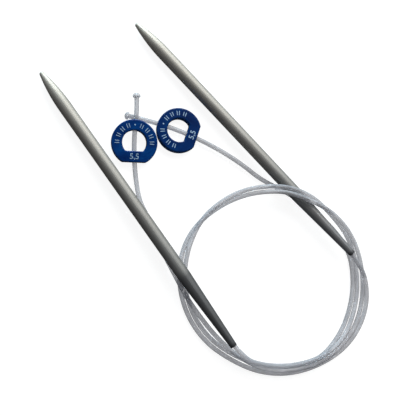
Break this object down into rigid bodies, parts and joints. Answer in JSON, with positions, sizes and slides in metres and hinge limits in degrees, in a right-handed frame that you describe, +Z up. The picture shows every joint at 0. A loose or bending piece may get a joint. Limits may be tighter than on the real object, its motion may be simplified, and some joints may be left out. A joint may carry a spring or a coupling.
{
  "type": "flexible knitting needle pair",
  "caption": "Pair of straight satin metal knitting needles, each with a long flexible nylon cord, a domed cord head and a D-shaped sliding stopper, lying loosely coiled together.",
  "frame": {"origin": "on the table, under the middle of the box round the two needles and the stoppers", "axes": "+Z up from the table; both needles point to -X +Y and their cords loop round on the +X -Y side"},
  "size_m": [0.1416, 0.1467, 0.01],
  "materials": {
    "satin_metal": "satin grey anodised or blasted",
    "nylon_cord": "translucent, smooth",
    "blue_plastic": "moulded, slightly glossy"
  },
  "bodies": {
    "needles": {"needle_a": "satin_metal", "needle_b": "satin_metal", "cord_a": "nylon_cord", "cord_b": "nylon_cord", "cord_head_a": "nylon_cord", "cord_head_b": "nylon_cord"},
    "stopper_a": {"stopper_a": "blue_plastic"},
    "stopper_b": {"stopper_b": "blue_plastic"}
  },
  "joints": [
    {"name": "stopper_a_slide", "type": "hinge", "parent": "needles", "child": "stopper_a", "pos_m": [-0.0479, -0.0916, 0.0017], "axis": [0, 0, -1], "range_deg": [0, 6.2]},
    {"name": "stopper_b_slide", "type": "hinge", "parent": "needles", "child": "stopper_b", "pos_m": [0.04346, 0.01036, 0.05734], "axis": [-0.6051, -0.0832, 0.7918], "range_deg": [0, 2.6]}
  ]
}
